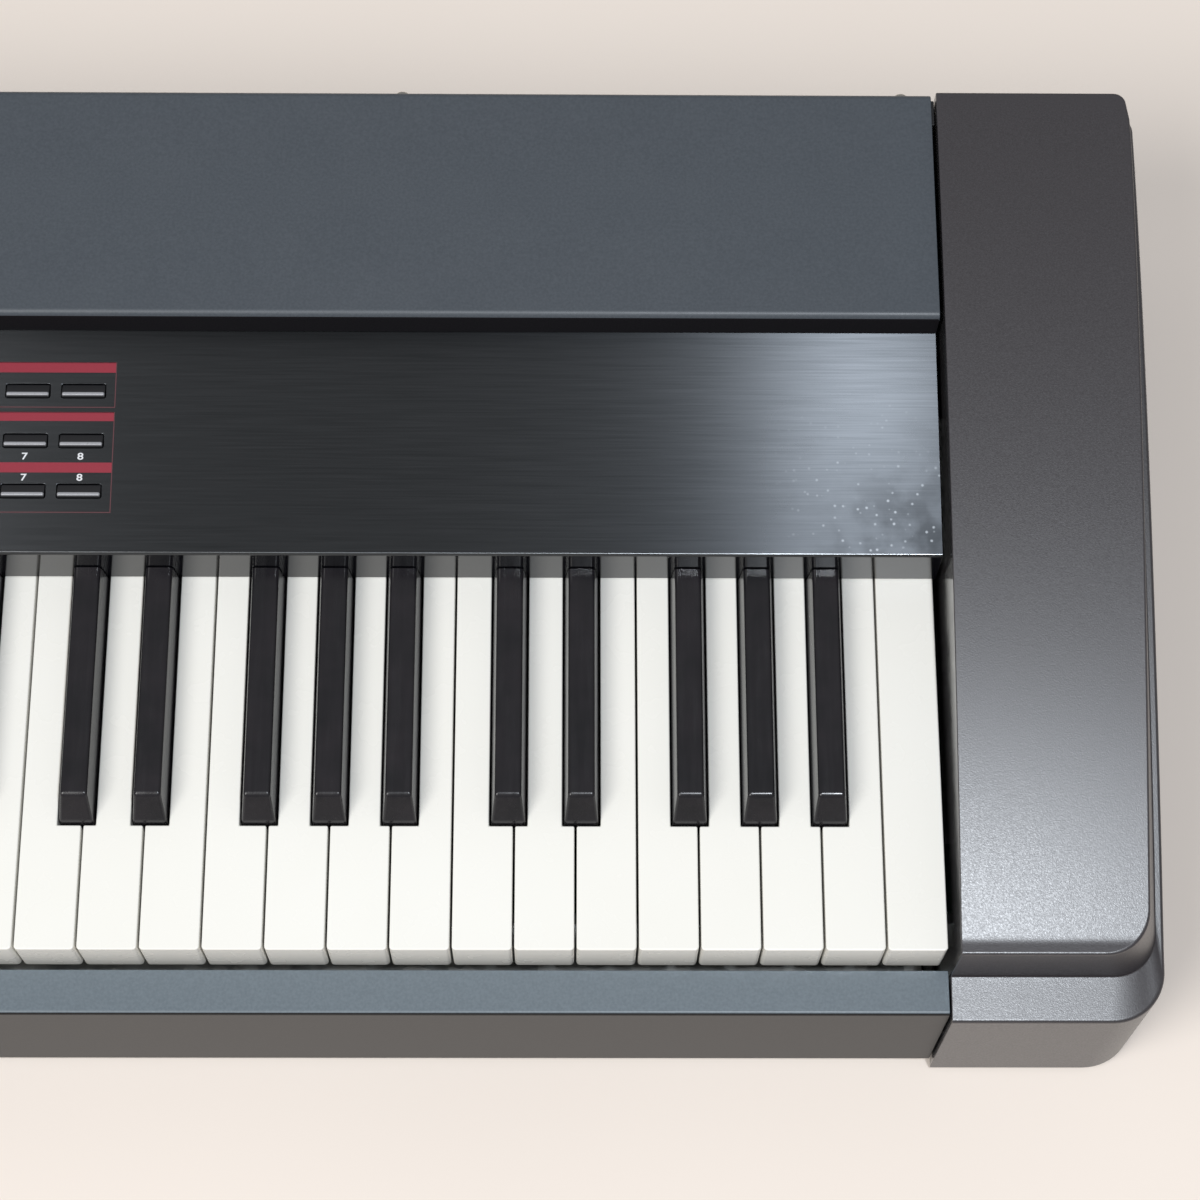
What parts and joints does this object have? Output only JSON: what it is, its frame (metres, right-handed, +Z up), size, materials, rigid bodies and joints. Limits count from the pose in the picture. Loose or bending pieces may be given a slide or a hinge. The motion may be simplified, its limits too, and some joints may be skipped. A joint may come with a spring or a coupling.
{
  "type": "stage piano",
  "caption": "Stage piano with weighted keys that tilt on a fulcrum, push buttons, sliders and a bender lever in a metal panel, between two-tier moulded end blocks.",
  "frame": {"origin": "middle of the footprint, on the floor below the feet", "axes": "+X to the player's right along the keyboard, +Y away from the player, +Z up"},
  "size_m": [1.392, 0.3664, 0.15],
  "materials": {
    "cover_paint": "satin blue-grey paint with a fine texture",
    "panel_metal": "dark anodised, brushed along its length",
    "moulded_plastic": "fine spark-textured moulding with a slight sheen",
    "white_key_plastic": "polished ivory white",
    "black_key_plastic": "polished black",
    "cap_plastic": "satin dark grey",
    "plated_steel": "zinc plated",
    "black_steel": "black stoved paint",
    "circuit_board": "green solder resist",
    "socket_plastic": "black moulding",
    "foot_rubber": "black rubber",
    "window_plastic": "tinted clear plastic"
  },
  "bodies": {
    "case": {"base_tray": "black_steel", "rear_cover": "cover_paint", "control_panel": "panel_metal", "key_slip": "cover_paint", "end_block_left": "moulded_plastic", "end_block_right": "moulded_plastic", "jack_plate": "black_steel", "jack_block": "socket_plastic", "power_inlet": "socket_plastic", "keybed_frame": "plated_steel", "contact_board": "circuit_board", "main_board": "circuit_board", "panel_board": "circuit_board", "power_supply": "plated_steel", "display_module": "circuit_board", "display_window": "window_plastic", "foot_front_left": "foot_rubber", "foot_front_right": "foot_rubber", "foot_rear_left": "foot_rubber", "foot_rear_right": "foot_rubber"},
    "white_key_c6": {"white_key_c6": "white_key_plastic"},
    "black_key_cs6": {"black_key_cs6": "black_key_plastic"},
    "white_key_d6": {"white_key_d6": "white_key_plastic"},
    "black_key_ds6": {"black_key_ds6": "black_key_plastic"},
    "white_key_e6": {"white_key_e6": "white_key_plastic"},
    "white_key_f6": {"white_key_f6": "white_key_plastic"},
    "black_key_fs6": {"black_key_fs6": "black_key_plastic"},
    "white_key_g6": {"white_key_g6": "white_key_plastic"},
    "black_key_gs6": {"black_key_gs6": "black_key_plastic"},
    "white_key_a6": {"white_key_a6": "white_key_plastic"},
    "black_key_as6": {"black_key_as6": "black_key_plastic"},
    "white_key_b6": {"white_key_b6": "white_key_plastic"},
    "white_key_c7": {"white_key_c7": "white_key_plastic"},
    "black_key_cs7": {"black_key_cs7": "black_key_plastic"},
    "white_key_d7": {"white_key_d7": "white_key_plastic"},
    "black_key_ds7": {"black_key_ds7": "black_key_plastic"},
    "white_key_e7": {"white_key_e7": "white_key_plastic"},
    "white_key_f7": {"white_key_f7": "white_key_plastic"},
    "black_key_fs7": {"black_key_fs7": "black_key_plastic"},
    "white_key_g7": {"white_key_g7": "white_key_plastic"},
    "black_key_gs7": {"black_key_gs7": "black_key_plastic"},
    "white_key_a7": {"white_key_a7": "white_key_plastic"},
    "black_key_as7": {"black_key_as7": "black_key_plastic"},
    "white_key_b7": {"white_key_b7": "white_key_plastic"},
    "white_key_c8": {"white_key_c8": "white_key_plastic"},
    "white_keys_lower": {"white_keys_lower": "white_key_plastic"},
    "black_keys_lower": {"black_keys_lower": "black_key_plastic"},
    "number_button_7": {"number_button_7": "cap_plastic"},
    "number_button_8": {"number_button_8": "cap_plastic"},
    "number_buttons_strip": {"number_buttons_strip": "cap_plastic"},
    "tone_button_7": {"tone_button_7": "cap_plastic"},
    "tone_button_8": {"tone_button_8": "cap_plastic"},
    "tone_buttons_strip": {"tone_buttons_strip": "cap_plastic"},
    "group_button_7": {"group_button_7": "cap_plastic"},
    "group_button_8": {"group_button_8": "cap_plastic"},
    "group_buttons_strip": {"group_buttons_strip": "cap_plastic"},
    "volume_slider": {"volume_slider": "cap_plastic"},
    "tone_slider": {"tone_slider": "cap_plastic"},
    "bender_lever": {"bender_lever": "cap_plastic"},
    "power_switch": {"power_switch": "socket_plastic"}
  },
  "joints": [
    {"name": "white_key_c6_hinge", "type": "hinge", "parent": "case", "child": "white_key_c6", "pos_m": [0, 0.0572, 0.081], "axis": [1, 0, 0], "range_deg": [0, 2.66], "stiffness_Nm_per_rad": 0.5, "springref_deg": -28.65},
    {"name": "black_key_cs6_hinge", "type": "hinge", "parent": "case", "child": "black_key_cs6", "pos_m": [0, 0.0572, 0.081], "axis": [1, 0, 0], "range_deg": [0, 2.66], "stiffness_Nm_per_rad": 0.5, "springref_deg": -17.19},
    {"name": "white_key_d6_hinge", "type": "hinge", "parent": "case", "child": "white_key_d6", "pos_m": [0, 0.0572, 0.081], "axis": [1, 0, 0], "range_deg": [0, 2.66], "stiffness_Nm_per_rad": 0.5, "springref_deg": -28.65},
    {"name": "black_key_ds6_hinge", "type": "hinge", "parent": "case", "child": "black_key_ds6", "pos_m": [0, 0.0572, 0.081], "axis": [1, 0, 0], "range_deg": [0, 2.66], "stiffness_Nm_per_rad": 0.5, "springref_deg": -17.19},
    {"name": "white_key_e6_hinge", "type": "hinge", "parent": "case", "child": "white_key_e6", "pos_m": [0, 0.0572, 0.081], "axis": [1, 0, 0], "range_deg": [0, 2.66], "stiffness_Nm_per_rad": 0.5, "springref_deg": -28.65},
    {"name": "white_key_f6_hinge", "type": "hinge", "parent": "case", "child": "white_key_f6", "pos_m": [0, 0.0572, 0.081], "axis": [1, 0, 0], "range_deg": [0, 2.66], "stiffness_Nm_per_rad": 0.5, "springref_deg": -28.65},
    {"name": "black_key_fs6_hinge", "type": "hinge", "parent": "case", "child": "black_key_fs6", "pos_m": [0, 0.0572, 0.081], "axis": [1, 0, 0], "range_deg": [0, 2.66], "stiffness_Nm_per_rad": 0.5, "springref_deg": -17.19},
    {"name": "white_key_g6_hinge", "type": "hinge", "parent": "case", "child": "white_key_g6", "pos_m": [0, 0.0572, 0.081], "axis": [1, 0, 0], "range_deg": [0, 2.66], "stiffness_Nm_per_rad": 0.5, "springref_deg": -28.65},
    {"name": "black_key_gs6_hinge", "type": "hinge", "parent": "case", "child": "black_key_gs6", "pos_m": [0, 0.0572, 0.081], "axis": [1, 0, 0], "range_deg": [0, 2.66], "stiffness_Nm_per_rad": 0.5, "springref_deg": -17.19},
    {"name": "white_key_a6_hinge", "type": "hinge", "parent": "case", "child": "white_key_a6", "pos_m": [0, 0.0572, 0.081], "axis": [1, 0, 0], "range_deg": [0, 2.66], "stiffness_Nm_per_rad": 0.5, "springref_deg": -28.65},
    {"name": "black_key_as6_hinge", "type": "hinge", "parent": "case", "child": "black_key_as6", "pos_m": [0, 0.0572, 0.081], "axis": [1, 0, 0], "range_deg": [0, 2.66], "stiffness_Nm_per_rad": 0.5, "springref_deg": -17.19},
    {"name": "white_key_b6_hinge", "type": "hinge", "parent": "case", "child": "white_key_b6", "pos_m": [0, 0.0572, 0.081], "axis": [1, 0, 0], "range_deg": [0, 2.66], "stiffness_Nm_per_rad": 0.5, "springref_deg": -28.65},
    {"name": "white_key_c7_hinge", "type": "hinge", "parent": "case", "child": "white_key_c7", "pos_m": [0, 0.0572, 0.081], "axis": [1, 0, 0], "range_deg": [0, 2.66], "stiffness_Nm_per_rad": 0.5, "springref_deg": -28.65},
    {"name": "black_key_cs7_hinge", "type": "hinge", "parent": "case", "child": "black_key_cs7", "pos_m": [0, 0.0572, 0.081], "axis": [1, 0, 0], "range_deg": [0, 2.66], "stiffness_Nm_per_rad": 0.5, "springref_deg": -17.19},
    {"name": "white_key_d7_hinge", "type": "hinge", "parent": "case", "child": "white_key_d7", "pos_m": [0, 0.0572, 0.081], "axis": [1, 0, 0], "range_deg": [0, 2.66], "stiffness_Nm_per_rad": 0.5, "springref_deg": -28.65},
    {"name": "black_key_ds7_hinge", "type": "hinge", "parent": "case", "child": "black_key_ds7", "pos_m": [0, 0.0572, 0.081], "axis": [1, 0, 0], "range_deg": [0, 2.66], "stiffness_Nm_per_rad": 0.5, "springref_deg": -17.19},
    {"name": "white_key_e7_hinge", "type": "hinge", "parent": "case", "child": "white_key_e7", "pos_m": [0, 0.0572, 0.081], "axis": [1, 0, 0], "range_deg": [0, 2.66], "stiffness_Nm_per_rad": 0.5, "springref_deg": -28.65},
    {"name": "white_key_f7_hinge", "type": "hinge", "parent": "case", "child": "white_key_f7", "pos_m": [0, 0.0572, 0.081], "axis": [1, 0, 0], "range_deg": [0, 2.66], "stiffness_Nm_per_rad": 0.5, "springref_deg": -28.65},
    {"name": "black_key_fs7_hinge", "type": "hinge", "parent": "case", "child": "black_key_fs7", "pos_m": [0, 0.0572, 0.081], "axis": [1, 0, 0], "range_deg": [0, 2.66], "stiffness_Nm_per_rad": 0.5, "springref_deg": -17.19},
    {"name": "white_key_g7_hinge", "type": "hinge", "parent": "case", "child": "white_key_g7", "pos_m": [0, 0.0572, 0.081], "axis": [1, 0, 0], "range_deg": [0, 2.66], "stiffness_Nm_per_rad": 0.5, "springref_deg": -28.65},
    {"name": "black_key_gs7_hinge", "type": "hinge", "parent": "case", "child": "black_key_gs7", "pos_m": [0, 0.0572, 0.081], "axis": [1, 0, 0], "range_deg": [0, 2.66], "stiffness_Nm_per_rad": 0.5, "springref_deg": -17.19},
    {"name": "white_key_a7_hinge", "type": "hinge", "parent": "case", "child": "white_key_a7", "pos_m": [0, 0.0572, 0.081], "axis": [1, 0, 0], "range_deg": [0, 2.66], "stiffness_Nm_per_rad": 0.5, "springref_deg": -28.65},
    {"name": "black_key_as7_hinge", "type": "hinge", "parent": "case", "child": "black_key_as7", "pos_m": [0, 0.0572, 0.081], "axis": [1, 0, 0], "range_deg": [0, 2.66], "stiffness_Nm_per_rad": 0.5, "springref_deg": -17.19},
    {"name": "white_key_b7_hinge", "type": "hinge", "parent": "case", "child": "white_key_b7", "pos_m": [0, 0.0572, 0.081], "axis": [1, 0, 0], "range_deg": [0, 2.66], "stiffness_Nm_per_rad": 0.5, "springref_deg": -28.65},
    {"name": "white_key_c8_hinge", "type": "hinge", "parent": "case", "child": "white_key_c8", "pos_m": [0, 0.0572, 0.081], "axis": [1, 0, 0], "range_deg": [0, 2.66], "stiffness_Nm_per_rad": 0.5, "springref_deg": -28.65},
    {"name": "white_keys_lower_hinge", "type": "hinge", "parent": "case", "child": "white_keys_lower", "pos_m": [0, 0.0572, 0.081], "axis": [1, 0, 0], "range_deg": [0, 2.66], "stiffness_Nm_per_rad": 18.5, "springref_deg": -28.65},
    {"name": "black_keys_lower_hinge", "type": "hinge", "parent": "case", "child": "black_keys_lower", "pos_m": [0, 0.0572, 0.081], "axis": [1, 0, 0], "range_deg": [0, 2.66], "stiffness_Nm_per_rad": 13, "springref_deg": -17.19},
    {"name": "number_button_7_press", "type": "slide", "parent": "case", "child": "number_button_7", "axis": [0, 0.0872, -0.9962], "range_m": [0, 0.001], "stiffness_N_per_m": 400, "springref_m": -0.002},
    {"name": "number_button_8_press", "type": "slide", "parent": "case", "child": "number_button_8", "axis": [0, 0.0872, -0.9962], "range_m": [0, 0.001], "stiffness_N_per_m": 400, "springref_m": -0.002},
    {"name": "number_buttons_strip_press", "type": "slide", "parent": "case", "child": "number_buttons_strip", "axis": [0, 0.0872, -0.9962], "range_m": [0, 0.001], "stiffness_N_per_m": 2400, "springref_m": -0.002},
    {"name": "tone_button_7_press", "type": "slide", "parent": "case", "child": "tone_button_7", "axis": [0, 0.0872, -0.9962], "range_m": [0, 0.001], "stiffness_N_per_m": 400, "springref_m": -0.002},
    {"name": "tone_button_8_press", "type": "slide", "parent": "case", "child": "tone_button_8", "axis": [0, 0.0872, -0.9962], "range_m": [0, 0.001], "stiffness_N_per_m": 400, "springref_m": -0.002},
    {"name": "tone_buttons_strip_press", "type": "slide", "parent": "case", "child": "tone_buttons_strip", "axis": [0, 0.0872, -0.9962], "range_m": [0, 0.001], "stiffness_N_per_m": 2400, "springref_m": -0.002},
    {"name": "group_button_7_press", "type": "slide", "parent": "case", "child": "group_button_7", "axis": [0, 0.0872, -0.9962], "range_m": [0, 0.001], "stiffness_N_per_m": 400, "springref_m": -0.002},
    {"name": "group_button_8_press", "type": "slide", "parent": "case", "child": "group_button_8", "axis": [0, 0.0872, -0.9962], "range_m": [0, 0.001], "stiffness_N_per_m": 400, "springref_m": -0.002},
    {"name": "group_buttons_strip_press", "type": "slide", "parent": "case", "child": "group_buttons_strip", "axis": [0, 0.0872, -0.9962], "range_m": [0, 0.001], "stiffness_N_per_m": 2400, "springref_m": -0.002},
    {"name": "volume_slider_travel", "type": "slide", "parent": "case", "child": "volume_slider", "axis": [0, 0.9962, 0.0872], "range_m": [-0.0225, 0.0225]},
    {"name": "tone_slider_travel", "type": "slide", "parent": "case", "child": "tone_slider", "axis": [0, 0.9962, 0.0872], "range_m": [-0.0225, 0.0225]},
    {"name": "bender_lever_swing", "type": "hinge", "parent": "case", "child": "bender_lever", "pos_m": [-0.5538, 0.03466, 0.11291], "axis": [0, 0.9962, 0.0872], "range_deg": [-20, 20], "stiffness_Nm_per_rad": 0.1},
    {"name": "power_switch_rock", "type": "hinge", "parent": "case", "child": "power_switch", "pos_m": [0.4683, 0.17568, 0.049], "axis": [1, 0, 0], "range_deg": [0, 20]}
  ]
}
